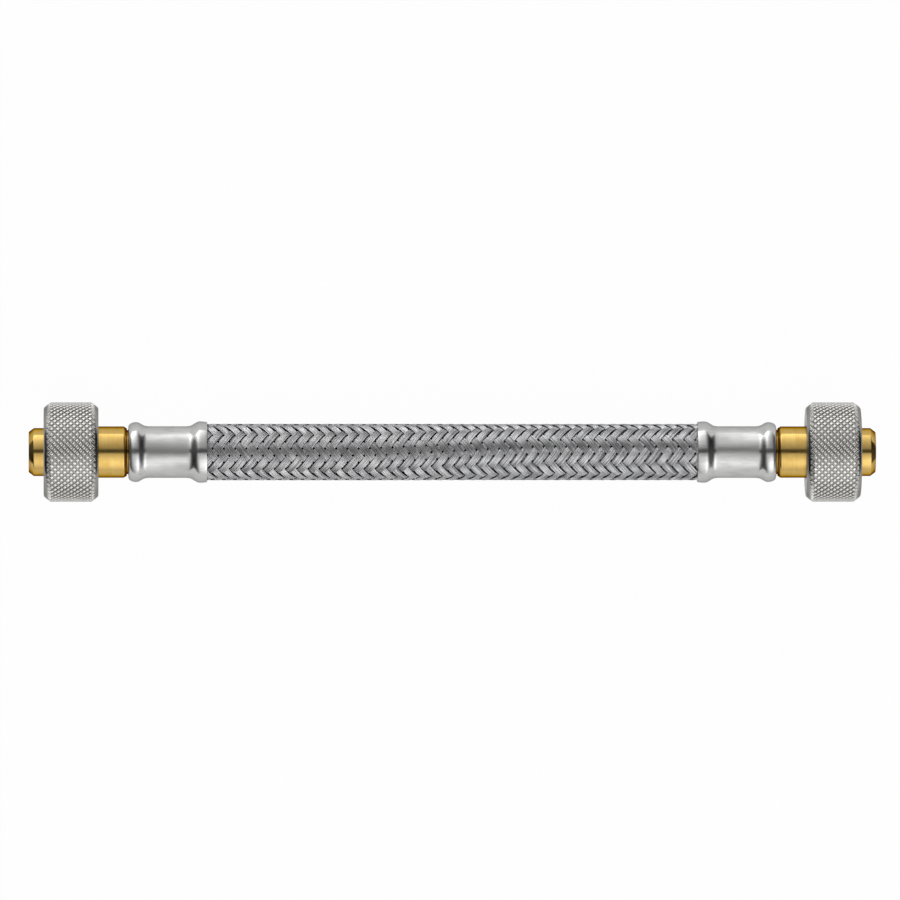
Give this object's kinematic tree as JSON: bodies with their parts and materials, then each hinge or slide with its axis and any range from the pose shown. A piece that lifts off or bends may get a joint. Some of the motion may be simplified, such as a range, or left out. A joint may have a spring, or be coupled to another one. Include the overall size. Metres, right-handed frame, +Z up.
{
  "type": "flexible connector hose",
  "caption": "Steel-braided flexible connector hose with a crimped ferrule, a brass pilot nipple and a captive knurled union nut at each end.",
  "frame": {"origin": "middle of the hose, on its axis", "axes": "+X along the hose, from the left end to the right end; +Z up, away from the surface that both nuts lie on"},
  "size_m": [0.1762, 0.0208, 0.0206],
  "materials": {
    "wire_steel": "bright drawn wire",
    "sheet_steel": "satin",
    "brass": "turned",
    "nickel_plate": "satin nickel",
    "tube_rubber": "matt",
    "seal_rubber": "matt",
    "acetal": "matt"
  },
  "bodies": {
    "hose": {"braid_sleeve": "wire_steel", "inner_tube": "tube_rubber", "left_ferrule": "sheet_steel", "left_nipple": "brass", "left_seal_ring": "seal_rubber", "right_ferrule": "sheet_steel", "right_nipple": "brass", "right_seal_ring": "seal_rubber"},
    "left_slip_ring": {"left_slip_ring": "acetal"},
    "left_union_nut": {"left_union_nut": "nickel_plate"},
    "right_slip_ring": {"right_slip_ring": "acetal"},
    "right_union_nut": {"right_union_nut": "nickel_plate"}
  },
  "joints": [
    {"name": "left_nut_slide", "type": "slide", "parent": "hose", "child": "left_slip_ring", "axis": [1, 0, 0], "range_m": [0, 0.0059]},
    {"name": "left_nut_spin", "type": "hinge", "parent": "left_slip_ring", "child": "left_union_nut", "pos_m": [-0.0793, 0, 0], "axis": [-1, 0, 0], "continuous": true},
    {"name": "right_nut_slide", "type": "slide", "parent": "hose", "child": "right_slip_ring", "axis": [-1, 0, 0], "range_m": [0, 0.0059]},
    {"name": "right_nut_spin", "type": "hinge", "parent": "right_slip_ring", "child": "right_union_nut", "pos_m": [0.0793, 0, 0], "axis": [1, 0, 0], "continuous": true}
  ]
}
